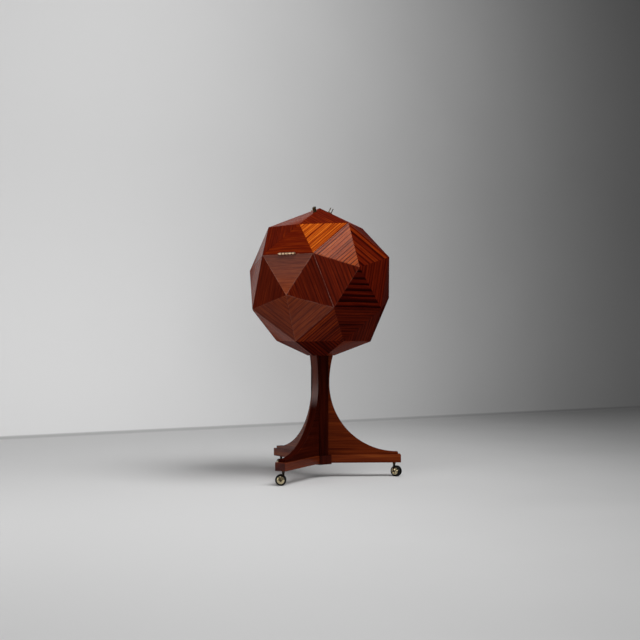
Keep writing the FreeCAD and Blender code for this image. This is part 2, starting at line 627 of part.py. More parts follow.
def main():
    os.makedirs("parts", exist_ok=True)
    below = block(-BALL_HEIGHT, BALL_HEIGHT, -BALL_HEIGHT, BALL_HEIGHT, 0, PEDESTAL_HEIGHT)
    space = hollow()

    # Hinges
    lid_leaf = at_hinge(upper_leaf(1))
    lid_holes = [at_hinge(s) for s in leaf_holes()]
    lid_screws = [at_hinge(s) for s in leaf_screws()]
    body_leaf = at_hinge(flipped(upper_leaf(0)))
    body_holes = [at_hinge(flipped(s)) for s in leaf_holes()]
    body_screws = [at_hinge(flipped(s)) for s in leaf_screws()]
    recess = at_hinge(mortise())
    pin = at_hinge(hinge_pin())

    # Lids: the third board has the hinge's recess, the first and last carry the pull
    lid = boards(LID, LID_GAP)
    lid[2] = lid[2].cut([recess] + lid_holes)
    handle = moved(pull(), PULL_PLACE).cut([lid[0], lid[4]])
    hole, screw = [moved(s, PULL_PLACE) for s in pull_screw()]
    handle = handle.cut(hole)
    lid[0] = lid[0].cut(hole)
    lid[4] = lid[4].cut(hole)

    # Side panels: the lower ones have the recess in the edge under the lid
    lower = boards(LOWER)
    lower[2] = lower[2].cut([recess] + body_holes)
    base = [b.cut(below) for b in boards(BASE)]
    for side in SIDES:
        angle = side_angle(side)
        save("lid_%d" % side, [turned(b, angle) for b in lid])
        save("lid_hinge_leaf_%d" % side, [turned(lid_leaf, angle)])
        save("lid_hinge_screws_%d" % side, [turned(s, angle) for s in lid_screws])
        save("lid_handle_%d" % side, [turned(handle, angle)])
        save("handle_screw_%d" % side, [turned(screw, angle)])
        save("body_hinge_leaf_%d" % side, [turned(body_leaf, angle)])
        save("upper_panel_%d" % side, [turned(b, angle - 120) for b in boards(UPPER)])
        save("lower_panel_%d" % side, [turned(b, angle) for b in lower])
        save("base_panel_%d" % side, [turned(b, angle - 120) for b in base])
    front = side_angle(1)
    save("hinge_pins", in_three([turned(pin, front)]))
    save("body_hinge_screws", in_three([turned(s, front) for s in body_screws]))

    # Inside the ball
    big = 2 * CORNER_RADIUS
    block_top = PEDESTAL_HEIGHT + BLOCK_HEIGHT
    floor_top = PEDESTAL_HEIGHT + FLOOR_RISE
    floor_foot = floor_top - FLOOR_THICKNESS
    screws = []
    washers = []
    for side in SIDES:
        shape = hex_screw(SCREW_RADIUS, SCREW_LENGTH, SCREW_HEAD_FLATS, SCREW_HEAD, SCREW_RADIUS)
        seat = Vector(SCREW_CIRCLE, 0, block_top + WASHER)
        shape = moved(shape, FreeCAD.Placement(seat, FreeCAD.Rotation(Vector(1, 0, 0), 180)))
        ring = rod(WASHER_RADIUS, block_top, block_top + WASHER, SCREW_CIRCLE)
        screws.append(turned(shape, side_angle(side)))
        washers.append(turned(ring, side_angle(side)))
    bores = []
    for side in SIDES:
        foot, head = block_top - SCREW_LENGTH, block_top + 2 * WASHER
        bore = rod(SCREW_RADIUS + SCREW_PLAY, foot, head, SCREW_CIRCLE)
        bores.append(turned(bore, side_angle(side)))
    bottom = turned(space.common(block(-big, big, -big, big, PEDESTAL_HEIGHT, block_top)), front)
    save("bottom_block", [bottom.cut(bores)])
    save("pedestal_screws", screws)
    save("pedestal_washers", [w.cut(bores) for w in washers])

    floor = hollow(FLOOR_GAP).common(block(-big, big, -big, big, floor_foot, floor_top))
    save("bottle_floor", [turned(floor, front)])
    inner_end = floor_reach(floor_foot) - CLEAT_REACH
    half = CLEAT_LENGTH / 2
    cleat = block(inner_end, big, -half, half, floor_foot - CLEAT_HEIGHT, floor_foot)
    cleat = turned(cleat, 60).common(space)
    save("floor_cleats", in_three([turned(cleat, front)]))

    # Pedestal
    bolt_seat = HUB_FOOT + BOLT_HEAD + BOLT_WASHER + COUNTERBORE_GAP
    bolt = hex_screw(BOLT_RADIUS, BOLT_LENGTH, BOLT_HEAD_FLATS, BOLT_HEAD, BOLT_RADIUS)
    bolt.translate(Vector(0, 0, bolt_seat - BOLT_WASHER))
    shank = rod(BOLT_RADIUS + SCREW_PLAY, HUB_FOOT, bolt_seat + BOLT_LENGTH)
    well = rod(BOLT_WASHER_RADIUS + COUNTERBORE_GAP, HUB_FOOT, bolt_seat)
    fin_pegs = [turned(d, front) for d in in_three(fin_dowels())]
    fin_holes = [turned(d, front) for d in in_three(fin_dowels(DOWEL_PLAY))]
    beam_pegs = [turned(d, front) for d in in_three(beam_dowels())]
    beam_holes = [turned(d, front) for d in in_three(beam_dowels(DOWEL_PLAY))]
    column = turned(post(COLUMN_FLATS, BEAM_TOP, PEDESTAL_HEIGHT), front)
    save("column", [column.cut(bores + [shank] + fin_holes)])
    hub = turned(post(HUB_FLATS, HUB_FOOT, BEAM_TOP), front)
    save("hub", [hub.cut([shank, well] + beam_holes)])
    save("column_bolt", [bolt])
    save("column_washer", [rod(BOLT_WASHER_RADIUS, bolt_seat - BOLT_WASHER, bolt_seat).cut(shank)])
    save("fin_dowels", fin_pegs)
    save("beam_dowels", beam_pegs)
    one_fin = fin().cut(fin_dowels(DOWEL_PLAY))
    one_beam = beam()
    for side in SIDES:
        save("fin_%d" % side, [turned(one_fin, side_angle(side))])
        save("foot_beam_%d" % side, [turned(one_beam, side_angle(side))])

    # Casters
    sockets = []
    for side in SIDES:
        angle = math.radians(side_angle(side))
        stand = Vector(CASTER_REACH * math.cos(angle), CASTER_REACH * math.sin(angle), 0)
        sockets.append(moved(socket(), FreeCAD.Placement(stand, FreeCAD.Rotation())))
        place = FreeCAD.Placement(stand, FreeCAD.Rotation(UP, CASTER_HEADINGS[side - 1]))
        save("caster_horn_%d" % side, [moved(horn(), place)])
        save("caster_axle_%d" % side, [moved(axle(), place)])
        save("caster_wheel_%d" % side, [moved(s, place) for s in wheel()])
        save("caster_tyre_%d" % side, [moved(s, place) for s in tyre()])
    save("caster_sockets", sockets)


def floor_reach(level):
    """How far from the axis the space inside reaches at 60 degrees, at this level below the centre."""
    tip = apex(BASE) * HOLLOW
    edge = (BASE[2] + BASE[3]) * (0.5 * HOLLOW)
    share = (BALL_HEIGHT + edge.z - level) / (edge.z - tip.z)
    return math.hypot(edge.x, edge.y) * (1 - share) + math.hypot(tip.x, tip.y) * share


main()
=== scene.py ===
# %% [markdown]
# # A bar cabinet in the form of a polyhedron
# The cabinet is a ball of sixty mitred boards on a finned pedestal with casters. The solids come
# packed from the CAD model, each piece in its place and on the body that it moves with. They could
# be modelled again here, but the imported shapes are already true, so they stay as they are, and this
# notebook gives them their finishes, their light and a camera.

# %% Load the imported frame
import bpy
import json
import math
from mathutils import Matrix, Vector


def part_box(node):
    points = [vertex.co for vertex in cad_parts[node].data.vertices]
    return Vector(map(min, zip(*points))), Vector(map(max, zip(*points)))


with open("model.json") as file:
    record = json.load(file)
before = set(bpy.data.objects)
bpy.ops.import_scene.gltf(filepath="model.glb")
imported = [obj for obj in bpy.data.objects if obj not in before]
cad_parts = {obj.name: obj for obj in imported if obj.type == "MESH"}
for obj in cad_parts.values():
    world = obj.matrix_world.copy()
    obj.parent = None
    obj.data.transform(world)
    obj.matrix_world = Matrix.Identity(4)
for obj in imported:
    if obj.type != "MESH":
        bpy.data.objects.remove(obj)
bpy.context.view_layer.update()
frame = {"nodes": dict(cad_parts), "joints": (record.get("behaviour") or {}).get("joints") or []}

from types import SimpleNamespace

nodes = frame["nodes"]

# %% [markdown]
# ## Camera
# The cabinet was photographed from a little below the middle of the ball, and from the right of the
# leg that points forward. A camera can be placed by eye, but the ball's corners are known, so its
# place and its focal length were worked out from where those corners lie in the picture.

# %% Camera
CAMERA_TURN = math.radians(27.03)
CAMERA_DISTANCE = 4.8466
CAMERA_HEIGHT = 0.6206
CAMERA_HEADING = math.radians(27.01)
CAMERA_TILT = math.radians(91.087)
SENSOR_WIDTH = 36.0
FOCAL_LENGTH = 59.69

camera_data = bpy.data.cameras.new("camera")
camera_data.sensor_width = SENSOR_WIDTH
camera_data.lens = FOCAL_LENGTH
camera = bpy.data.objects.new("camera", camera_data)
camera.location = (
    math.sin(CAMERA_TURN) * CAMERA_DISTANCE,
    -math.cos(CAMERA_TURN) * CAMERA_DISTANCE,
    CAMERA_HEIGHT,
)
camera.rotation_euler = (CAMERA_TILT, 0.0, CAMERA_HEADING)
bpy.context.scene.collection.objects.link(camera)
bpy.context.scene.camera = camera
bpy.context.scene.view_settings.view_transform = "Standard"
print("camera at", tuple(round(c, 3) for c in camera.location))

# %% [markdown]
# ## Shader maths as Python
# A wood finish is mostly arithmetic: how far a point lies from a board's edge, which strip that is,
# how dark the strip is. Math nodes could be placed and linked one at a time, but then the sums are
# hard to read. One small class wraps a socket, so that `1 - mask` adds a Math node by itself. Its
# method `node` makes every other kind of node.

# %% The socket class
class Wire:
    """A socket of a node tree, on which Python's operators add Math nodes."""

    def __init__(self, tree, socket=None):
        self.tree = tree
        self.socket = socket

    def node(self, kind, settings=None, sockets=None, out=0):
        """Any node: its type, its settings, set first, and its sockets' values or links."""
        made = self.tree.nodes.new(kind)
        for name, value in (settings or {}).items():
            if name == "stops":
                self.fill(made.color_ramp, value)
            else:
                setattr(made, name, value)
        for name, value in (sockets or {}).items():
            if isinstance(value, Wire):
                self.tree.links.new(value.socket, made.inputs[name])
            else:
                made.inputs[name].default_value = value
        return Wire(self.tree, made.outputs[out])

    def fill(self, ramp, stops):
        """Give a colour ramp its stops: pairs of a place and a colour."""
        while len(ramp.elements) < len(stops):
            ramp.elements.new(0.5)
        for element, (place, colour) in zip(ramp.elements, stops):
            element.position = place
            element.color = (*colour, 1.0)

    def math(self, operation, one, two=0.0):
        """A Math node."""
        return self.node("ShaderNodeMath", {"operation": operation}, {0: one, 1: two})

    def __add__(self, other):
        return self.math("ADD", self, other)

    def __radd__(self, other):
        return self.math("ADD", other, self)

    def __sub__(self, other):
        return self.math("SUBTRACT", self, other)

    def __rsub__(self, other):
        return self.math("SUBTRACT", other, self)

    def __mul__(self, other):
        return self.math("MULTIPLY", self, other)

    def __rmul__(self, other):
        return self.math("MULTIPLY", other, self)

    def __truediv__(self, other):
        return self.math("DIVIDE", self, other)

    def __rtruediv__(self, other):
        return self.math("DIVIDE", other, self)

    def __lt__(self, other):
        return self.math("LESS_THAN", self, other)

    def __gt__(self, other):
        return self.math("GREATER_THAN", self, other)


def finish(name):
    """A new material, with its shader and a first wire into its tree."""
    material = bpy.data.materials.new(name)
    material.use_nodes = True
    return material, material.node_tree.nodes["Principled BSDF"], Wire(material.node_tree)


def feed(shader, **sockets):
    """Link wires to the shader's sockets, and set plain numbers and colours on them directly."""
    for name, value in sockets.items():
        socket = shader.inputs[name.replace("_", " ")]
        if isinstance(value, Wire):
            value.tree.links.new(value.socket, socket)
        else:
            socket.default_value = value


print("operators ready")

# %% Nodes that most finishes use
def vector_math(wire, operation, one, two):
    """A Vector Math node that gives a vector."""
    return wire.node("ShaderNodeVectorMath", {"operation": operation}, {0: one, 1: two})


def scaled(wire, vector, factor):
    """A vector times a number."""
    return wire.node("ShaderNodeVectorMath", {"operation": "SCALE"}, {0: vector, "Scale": factor})


def dot(wire, vector, direction):
    """How far a point lies along a direction."""
    return wire.node("ShaderNodeVectorMath", {"operation": "DOT_PRODUCT"},
                     {0: vector, 1: direction}, out="Value")


def limited(wire, value, low, high, at_low=0.0, at_high=1.0):
    """A smooth step between two limits."""
    return wire.node("ShaderNodeMapRange", {"interpolation_type": "SMOOTHSTEP"},
                     {"Value": value, "From Min": low, "From Max": high,
                      "To Min": at_low, "To Max": at_high})


def extreme(wire, values, operation):
    """The smallest or largest of several values."""
    best = values[0]
    for value in values[1:]:
        best = wire.math(operation, best, value)
    return best


def blended(wire, share, one, two):
    """A colour between two colours."""
    return wire.node("ShaderNodeMix", {"data_type": "RGBA"}, {0: share, 6: one, 7: two}, out=2)


def bumped(wire, strength, distance, height):
    """A normal that follows small heights. The distance is in metres."""
    return wire.node("ShaderNodeBump", None,
                     {"Strength": strength, "Distance": distance, "Height": height})


print("shared nodes ready")

# %% [markdown]
# ## The ball's geometry
# A strip of veneer runs parallel to the pentagon's edge that its board lies on. To paint strips,
# the finish has to know that edge. It could come from a UV map on a copy of each panel, but the
# ball is regular, so the same few formulas that shaped the boards also give every edge, and the
# packed panels can stay.

# %% Corners of the twelve panels
MM = 1000.0
SIDES = (1, 2, 3)
# In metres: a pentagon's edge, its pyramid's rise, the pedestal's top, and how much of the ball's
# lowest corner is cut off there
EDGE = 0.250
RISE = 0.046
SEAT = 0.551
CUT_OFF = 0.0263
BALL_RADIUS = EDGE * math.sqrt(3) * (1 + math.sqrt(5)) / 4
BALL_CENTRE = Vector((0.0, 0.0, SEAT + BALL_RADIUS - CUT_OFF))
PENTAGON_DISTANCE = EDGE / 2 * math.sqrt((25 + 11 * math.sqrt(5)) / 10)
# From a board's edge to its tip, in mm
BOARD_HEIGHT = math.hypot(EDGE / 2 / math.tan(math.pi / 5), RISE) * MM
# Levels of the corners as shares of the radius, and half the angle, in degrees, between the two
# corners of an edge at the waist
SHOULDER = math.sqrt(5) / 3
WAIST = 1 / 3
SPREAD = math.degrees(math.asin(EDGE / 2 / (BALL_RADIUS * math.sqrt(8) / 3)))


def leg_turn(side):
    """The direction of a leg, in degrees. Leg 1 points forward."""
    return 120 * (side - 1) - 90


def corner(degrees, level):
    """A corner of the ball, about its centre, by its direction and its level."""
    reach = BALL_RADIUS * math.sqrt(1 - level * level)
    angle = math.radians(degrees)
    return Vector((reach * math.cos(angle), reach * math.sin(angle), BALL_RADIUS * level))


def panel_corners(kind, turn):
    """The five corners of a panel of this kind, turned about the pedestal's axis."""
    upper = kind in ("lid", "upper_panel")
    if kind in ("lid", "base_panel"):
        places = [(0, 1.0), (-60, SHOULDER), (-SPREAD, WAIST), (SPREAD, WAIST), (60, SHOULDER)]
    else:
        places = [(180, SHOULDER), (120 + SPREAD, WAIST), (180 - SPREAD, -WAIST)]
        places += [(180 + SPREAD, -WAIST), (240 - SPREAD, WAIST)]
    if upper:
        return [corner(d + turn, level) for d, level in places]
    places = places[:1] + places[:0:-1]
    return [corner(d + turn + 180, -level) for d, level in places]


PANELS = {}
for side in SIDES:
    leg = leg_turn(side)
    PANELS["lid_%d" % side] = panel_corners("lid", leg)
    PANELS["upper_panel_%d" % side] = panel_corners("upper_panel", leg - 120)
    PANELS["lower_panel_%d" % side] = panel_corners("lower_panel", leg)
    PANELS["base_panel_%d" % side] = panel_corners("base_panel", leg - 120)
for name in PANELS:
    low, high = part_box(name)
    middle = (low + high) / 2 - BALL_CENTRE
    print(name, "looks", tuple(round(c, 2) for c in middle.normalized()))

# %% [markdown]
# ## Striped veneer
# Each triangle is veneered in dark red, straight-grained wood, cut so that its dark and light
# stripes run parallel to the pentagon's edge. Five triangles make nested pentagons. The wood
# shimmers, so one board can be bright amber beside one that is nearly black; that shimmer is
# painted sheen and shade, held in each board's lightness. No two leaves of veneer have quite the
# same stripes. A single wood texture would make all sixty boards alike, so a table gives each board
# its own stripes, lightness, polish and wear.

# %% Veneer colours, and what each board is like
VENEER_STOPS = [
    (0.00, (0.007, 0.0006, 0.0005)),
    (0.25, (0.030, 0.0018, 0.0010)),
    (0.50, (0.105, 0.0080, 0.0020)),
    (0.75, (0.300, 0.0410, 0.0035)),
    (1.00, (0.600, 0.1350, 0.0110)),
]

# For each panel, one value for each of its five boards: the stripes' pitch in mm and the share of
# the pitch that is dark; the lightness, which also holds painted sheen and shade, and the stripes'
# contrast; the polish and how far the edge is rubbed, part wear and part painted highlight
VENEER = {
    "lid_1": (
        (13, 13, 13, 11, 13), (0.34, 0.34, 0.34, 0.32, 0.34),
        (0.58, 0.45, 0.505, 0.75, 0.46), (0.14, 0.14, 0.07, 0.60, 0.18),
        (0.43, 0.01, 0.00, 0.00, 0.02), (0.1, 0.1, 0.0, 0.1, 0.0)),
    "lid_2": (
        (17, 17, 17, 17, 17), (0.36, 0.36, 0.36, 0.36, 0.36),
        (0.52, 0.33, 0.60, 0.50, 0.44), (0.30, 0.25, 0.30, 0.25, 0.20),
        (0.25, 0.11, 0.20, 0.25, 0.20), (0.1, 0.0, 0.2, 0.1, 0.1)),
    "lid_3": (
        (16, 16, 16, 16, 16), (0.34, 0.34, 0.34, 0.34, 0.34),
        (0.46, 0.62, 0.52, 0.44, 0.55), (0.25, 0.35, 0.20, 0.22, 0.30),
        (0.20, 0.25, 0.20, 0.25, 0.20), (0.1, 0.2, 0.1, 0.2, 0.1)),
    "upper_panel_1": (
        (14, 18, 25, 17, 29), (0.36, 0.50, 0.75, 0.60, 0.60),
        (0.595, 0.41, 0.30, 0.40, 0.44), (0.54, 0.21, 0.47, 0.20, 0.36),
        (0.17, 0.05, 0.00, 0.00, 0.00), (0.2, 0.8, 0.0, 0.2, 0.2)),
    "upper_panel_2": (
        (24, 24, 24, 24, 24), (0.50, 0.55, 0.60, 0.65, 0.50),
        (0.52, 0.60, 0.44, 0.40, 0.50), (0.45, 0.50, 0.40, 0.50, 0.40),
        (0.25, 0.20, 0.20, 0.25, 0.20), (0.4, 0.7, 0.3, 0.8, 0.4)),
    "upper_panel_3": (
        (22, 22, 22, 22, 22), (0.50, 0.55, 0.50, 0.45, 0.50),
        (0.46, 0.42, 0.55, 0.62, 0.59), (0.40, 0.45, 0.40, 0.30, 0.25),
        (0.20, 0.20, 0.25, 0.47, 0.54), (0.4, 0.6, 0.3, 0.4, 0.3)),
    "lower_panel_1": (
        (20, 17, 20, 18, 20), (0.45, 0.45, 0.40, 0.45, 0.45),
        (0.55, 0.46, 0.57, 0.46, 0.51), (0.12, 0.18, 0.06, 0.12, 0.12),
        (0.14, 0.04, 0.20, 0.02, 0.10), (0.7, 1.0, 1.0, 0.2, 0.7)),
    "lower_panel_2": (
        (21, 21, 21, 21, 21), (0.48, 0.48, 0.48, 0.48, 0.48),
        (0.48, 0.42, 0.52, 0.36, 0.33), (0.30, 0.40, 0.25, 0.25, 0.25),
        (0.25, 0.20, 0.20, 0.05, 0.00), (0.5, 0.7, 0.4, 0.1, 0.0)),
    "lower_panel_3": (
        (20, 20, 20, 20, 20), (0.46, 0.46, 0.46, 0.46, 0.46),
        (0.43, 0.50, 0.47, 0.52, 0.44), (0.25, 0.30, 0.35, 0.25, 0.30),
        (0.20, 0.25, 0.20, 0.20, 0.25), (0.6, 0.4, 0.5, 0.7, 0.4)),
    "base_panel_1": (
        (17, 17, 17, 15, 17), (0.50, 0.55, 0.60, 0.50, 0.55),
        (0.50, 0.42, 0.41, 0.49, 0.34), (0.20, 0.22, 0.22, 0.32, 0.30),
        (0.12, 0.02, 0.01, 0.04, 0.01), (0.2, 0.2, 0.0, 0.2, 0.2)),
    "base_panel_2": (
        (19, 19, 19, 19, 19), (0.48, 0.48, 0.48, 0.48, 0.48),
        (0.45, 0.42, 0.48, 0.44, 0.40), (0.30, 0.35, 0.30, 0.40, 0.30),
        (0.20, 0.20, 0.15, 0.15, 0.20), (0.4, 0.6, 0.5, 0.4, 0.4)),
    "base_panel_3": (
        (18, 18, 18, 18, 18), (0.48, 0.48, 0.48, 0.48, 0.48),
        (0.46, 0.58, 0.42, 0.40, 0.45), (0.22, 0.26, 0.30, 0.35, 0.25),
        (0.14, 0.30, 0.15, 0.15, 0.20), (0.2, 0.3, 0.4, 0.5, 0.4)),
}
# Boards painted lighter, or darker, from the edge to the panel's tip: painted sheen and shade
SHEEN_AND_SHADE_TO_TIP = {
    "upper_panel_1": (0.0, 0.0, 0.0, 0.0, -0.10),
    "lower_panel_1": (0.0, 0.06, 0.22, -0.05, 0.08),
    "base_panel_1": (0.0, -0.06, -0.08, -0.10, -0.02),
}
# Boards with a sheen painted into their colour, a painted reflection, and how far
PAINTED_SHEEN = {
    "upper_panel_1": (0.13, 0.015, 0.0, 0.0, 0.0),
    "lower_panel_1": (0.12, 0.015, 0.16, 0.025, 0.11),
    "base_panel_1": (0.05, 0.01, 0.01, 0.02, 0.01),
    "base_panel_3": (0.02, 0.07, 0.0, 0.0, 0.0),
}
# The painted sheen's tint, and the tint of a worn arris, pale from wear and from a painted highlight
PAINTED_SHEEN_TINT = (0.20, 0.125, 0.075, 1.0)
WORN_AND_HIGHLIGHT_TINT = (0.30, 0.17, 0.13, 1.0)
print(len(VENEER), "panels with", sum(len(v[2]) for v in VENEER.values()), "boards")

# %% [markdown]
# ## From a place to a board
# The finish first asks which of a panel's five boards a point lies on, and how far it is from that
# board's edge. Separate materials on separate faces could answer that, but the boards of a panel
# are one mesh. The five mitres are planes through the ball's centre, so the smallest of five
# distances names the board, and the same distance counts the stripes.

# %% Mitres, edges and faces of a panel's boards
def board_planes(corners):
    """For a panel's five boards: the mitre at the edge, the edge's direction and the outer face's
    normal, and how far that face lies from the ball's centre, in mm."""
    tip = sum(corners, Vector()).normalized() * (PENTAGON_DISTANCE + RISE)
    mitres, edges, faces = [], [], []
    for one, two in zip(corners, corners[1:] + corners[:1]):
        mitre = one.cross(two).normalized()
        mitres.append(mitre if mitre.dot(tip) > 0 else -mitre)
        edges.append((two - one).normalized())
        face = (one - tip).cross(two - tip).normalized()
        faces.append(face if face.dot(tip) > 0 else -face)
    return mitres, edges, faces, faces[0].dot(tip) * MM


outer_face = board_planes(PANELS["lid_1"])[3]
print("outer faces lie", round(outer_face, 2), "mm from the ball's centre")

# %% Where a point lies on its board
# In mm: a difference that counts as none, a distance beyond every board, and the depths between
# which veneer gives way to plain wood
SAME = 0.01
FAR = 1000.0
VENEER_DEPTH = (2.6, 3.2)
# What sets the noise of a panel's boards apart
BOARD_SEED = 3.7


def picked(masks, values):
    """The value whose mask is 1."""
    total = masks[0] * values[0]
    for mask, value in zip(masks[1:], values[1:]):
        total = total + mask * value
    return total


def on_boards(wire, name, seed):
    """Which of a panel's boards a point lies on, as masks, and where on that board, in mm."""
    mitres, edges, faces, face_distance = board_planes(PANELS[name])
    slant = math.sqrt(1 - mitres[0].dot(faces[0]) ** 2)
    place = wire.node("ShaderNodeTexCoord", out="Object")
    place = scaled(wire, vector_math(wire, "SUBTRACT", place, BALL_CENTRE), MM)
    from_edges = [dot(wire, place, m) for m in mitres]
    closest = extreme(wire, from_edges, "MINIMUM")
    masks = [d < closest + SAME for d in from_edges]
    others = [d + m * FAR for d, m in zip(from_edges, masks)]
    depth = face_distance - extreme(wire, [dot(wire, place, f) for f in faces], "MAXIMUM")
    return SimpleNamespace(
        masks=masks,
        across=closest / slant,
        along=picked(masks, [dot(wire, place, e) for e in edges]),
        from_mitre=extreme(wire, others, "MINIMUM") - closest,
        inside=limited(wire, depth, *VENEER_DEPTH),
        seed=picked(masks, [seed + BOARD_SEED * k for k in range(5)]),
    )


print("a board is", round(BOARD_HEIGHT, 1), "mm from edge to tip")

# %% [markdown]
# ## Stripes, wear and lacquer
# Along the edge distance the veneer goes dark, light, dark, in stripes of uneven width, crossed by
# fine lines, grain and pores. Hands and dusters have rubbed some arrises pale, and a painted
# highlight lies on them too; the lids have a dark line round them, painted shade in the gap; the
# lacquer is still bright on some boards, and others have a painted sheen in their colour. All this
# could be painted by hand, but sums of a few masks can be tuned board by board. Behind the veneer,
# and on the boards' inner faces, the wood is plain.

# %% Marks along the grain
# Each kind of mark: what it adds to the board's seed, its length and width in mm, and its detail
DRIFT = (0.0, 220.0, 60.0, 1.0)
LINES = (0.0, 190.0, 2.4, 2.0)
RUBBED_AND_HIGHLIT = (2.0, 30.0, 30.0, 3.0)
PORES = (5.0, 9.0, 0.45, 1.0)
GRAIN = (9.0, 70.0, 0.9, 3.0)
FIGURE = (13.0, 90.0, 7.0, 2.0)
# The noise at which a mark begins and is full
LINE_LEVELS = (0.58, 0.70)
PORE_LEVELS = (0.64, 0.74)


def fibres(wire, along, across, third, length, width, detail):
    """Noise drawn out along the grain, about 0.5 on average. Lengths are in mm."""
    place = wire.node("ShaderNodeCombineXYZ", None,
                      {0: along / length, 1: across / width, 2: third})
    return wire.node("ShaderNodeTexNoise", {"noise_dimensions": "3D"},
                     {"Vector": place, "Scale": 1.0, "Detail": detail, "Roughness": 0.6})


def marks(wire, board, kind):
    """One kind of mark on a panel's boards."""
    offset, length, width, detail = kind
    return fibres(wire, board.along, board.across, board.seed + offset, length, width, detail)


print("marks ready")

# %% Stripes
# How far stripes wander from straight, in mm: all round a panel, over this length, and on a board
SWAY_LENGTH = 30.0
SWAY = 15.0
WANDER = 5.0
# Shares of a dark stripe's width: the least, what chance adds, and where the stripe starts to fade
LEAST_WIDTH = 0.6
MORE_WIDTH = 0.8
FADE_FROM = 0.35
# What sets the stripes' shades apart
SHADE_STEP = 1.73


def stripes(wire, board, drift, pitch, share, seed):
    """Where a panel's stripes are dark, and each stripe's own shade."""
    sway = wire.node("ShaderNodeTexNoise", {"noise_dimensions": "1D"},
                     {"W": board.across / SWAY_LENGTH + seed, "Scale": 1.0, "Detail": 1.0})
    wandered = board.across + (sway - 0.5) * SWAY + (drift - 0.5) * WANDER
    count = wandered / picked(board.masks, pitch)
    stripe = wire.math("FLOOR", count)
    chance = wire.node("ShaderNodeTexWhiteNoise", {"noise_dimensions": "1D"}, {"W": stripe + seed})
    shade = wire.node("ShaderNodeTexWhiteNoise", {"noise_dimensions": "1D"},
                      {"W": stripe * SHADE_STEP + board.seed})
    width = picked(board.masks, share) * (LEAST_WIDTH + chance * MORE_WIDTH)
    dark = limited(wire, count - stripe, width * FADE_FROM, width, 1.0, 0.0)
    return dark, shade


print("stripes sway by up to", SWAY / 2, "mm")

# %% Wear, painted highlight and dark joints on the arrises, painted shade round the lids
# Each is two places in mm, or two levels of noise, and how strong it is at them
RUBBED_AND_HIGHLIT_PATCHES = (0.40, 0.62, 0.15, 1.0)
WORN_AND_HIGHLIT_EDGE = (0.8, 3.0, 1.0, 0.0)
WORN_AND_HIGHLIT_RIDGE = (1.0, 3.6, 1.0, 0.0)
MITRE_LINE = (0.10, 0.35, 1.0, 0.0)
LID_GAP_SHADE = (0.4, 2.2, 0.9, 0.0)


def arrises(wire, board, name, rubbed):
    """Where a panel's arrises are rubbed pale, part wear and part painted highlight, and where its
    joints are dark, with painted shade in the gap round a lid.
    """
    patches = limited(wire, marks(wire, board, RUBBED_AND_HIGHLIT), *RUBBED_AND_HIGHLIT_PATCHES)
    edge = limited(wire, board.across, *WORN_AND_HIGHLIT_EDGE)
    ridge = limited(wire, board.from_mitre, *WORN_AND_HIGHLIT_RIDGE)
    wear = picked(board.masks, rubbed)
    worn = wire.math("MAXIMUM", edge, ridge * wear * wear) * patches * wear
    joint = limited(wire, board.from_mitre, *MITRE_LINE)
    # Round a lid, a painted shade line in the gap
    if name.startswith("lid"):
        joint = wire.math("MAXIMUM", joint, limited(wire, board.across, *LID_GAP_SHADE))
    return worn, joint


print("edges are rubbed over", WORN_AND_HIGHLIT_EDGE[1], "mm and ridges over", WORN_AND_HIGHLIT_RIDGE[1], "mm")

# %% Strengths of the veneer's marks
# By how much each lightens or darkens the veneer, where 1 is the whole range of its colours
STRIPE_BASE = 0.20
STRIPE_DARK = 0.64
STRIPE_SHADE = 0.30
LINE_DARK = 0.35
FIGURE_SHADE = 0.32
GRAIN_SHADE = 0.15
PORE_DARK = 0.06
# A worn arris is lightened partly by wear and partly as a painted highlight
WORN_AND_HIGHLIGHT_LIGHTEN = 0.07
# The joints' darkening also holds the painted shade in the gap round a lid
JOINT_AND_GAP_SHADE_DARK = 0.20
# How far from edge to tip the painted sheen and shade change nothing
SHEEN_AND_SHADE_MIDDLE = 0.33
# Lightness of the plain wood inside, and by how much its marks change it
PLAIN_BASE = 0.44
PLAIN_GRAIN = 0.28
PLAIN_DRIFT = 0.5
PLAIN_LINE = 0.12
# Shares: painted sheen at its thinnest and what figure adds, and the pale tint on a worn arris, part
# wear and part painted highlight
PAINTED_SHEEN_BASE = 0.4
PAINTED_SHEEN_FIGURE = 1.2
WORN_AND_HIGHLIGHT_SHARE = 0.22
# Lacquer: its constant sockets, how it fades from the edge (mm) to the tip, how dull a dark stripe
# is, how a worn arris shines and how little there is inside
LACQUER = {"Specular_IOR_Level": 0.0, "Coat_Roughness": 0.26, "Coat_IOR": 1.5}
LACQUER_FADE = (60.0, 160.0, 1.20, 0.35)
STRIPE_DULL = 1.1
WORN_SHINE = 0.30
INSIDE_DULL = 0.8
# Roughness of wood, and what each mark adds or takes away
WOOD_ROUGHNESS = 0.42
GRAIN_ROUGH = 0.12
PORE_ROUGH = 0.1
INSIDE_ROUGH = 0.12
WORN_SMOOTH = 0.06
# Bump of wood: its strength and distance, and grain and joints measured by a pore's depth
WOOD_BUMP = (0.12, 0.0002)
GRAIN_HEIGHT = 0.5
JOINT_DEPTH = 2.0
print("lacquer", LACQUER)

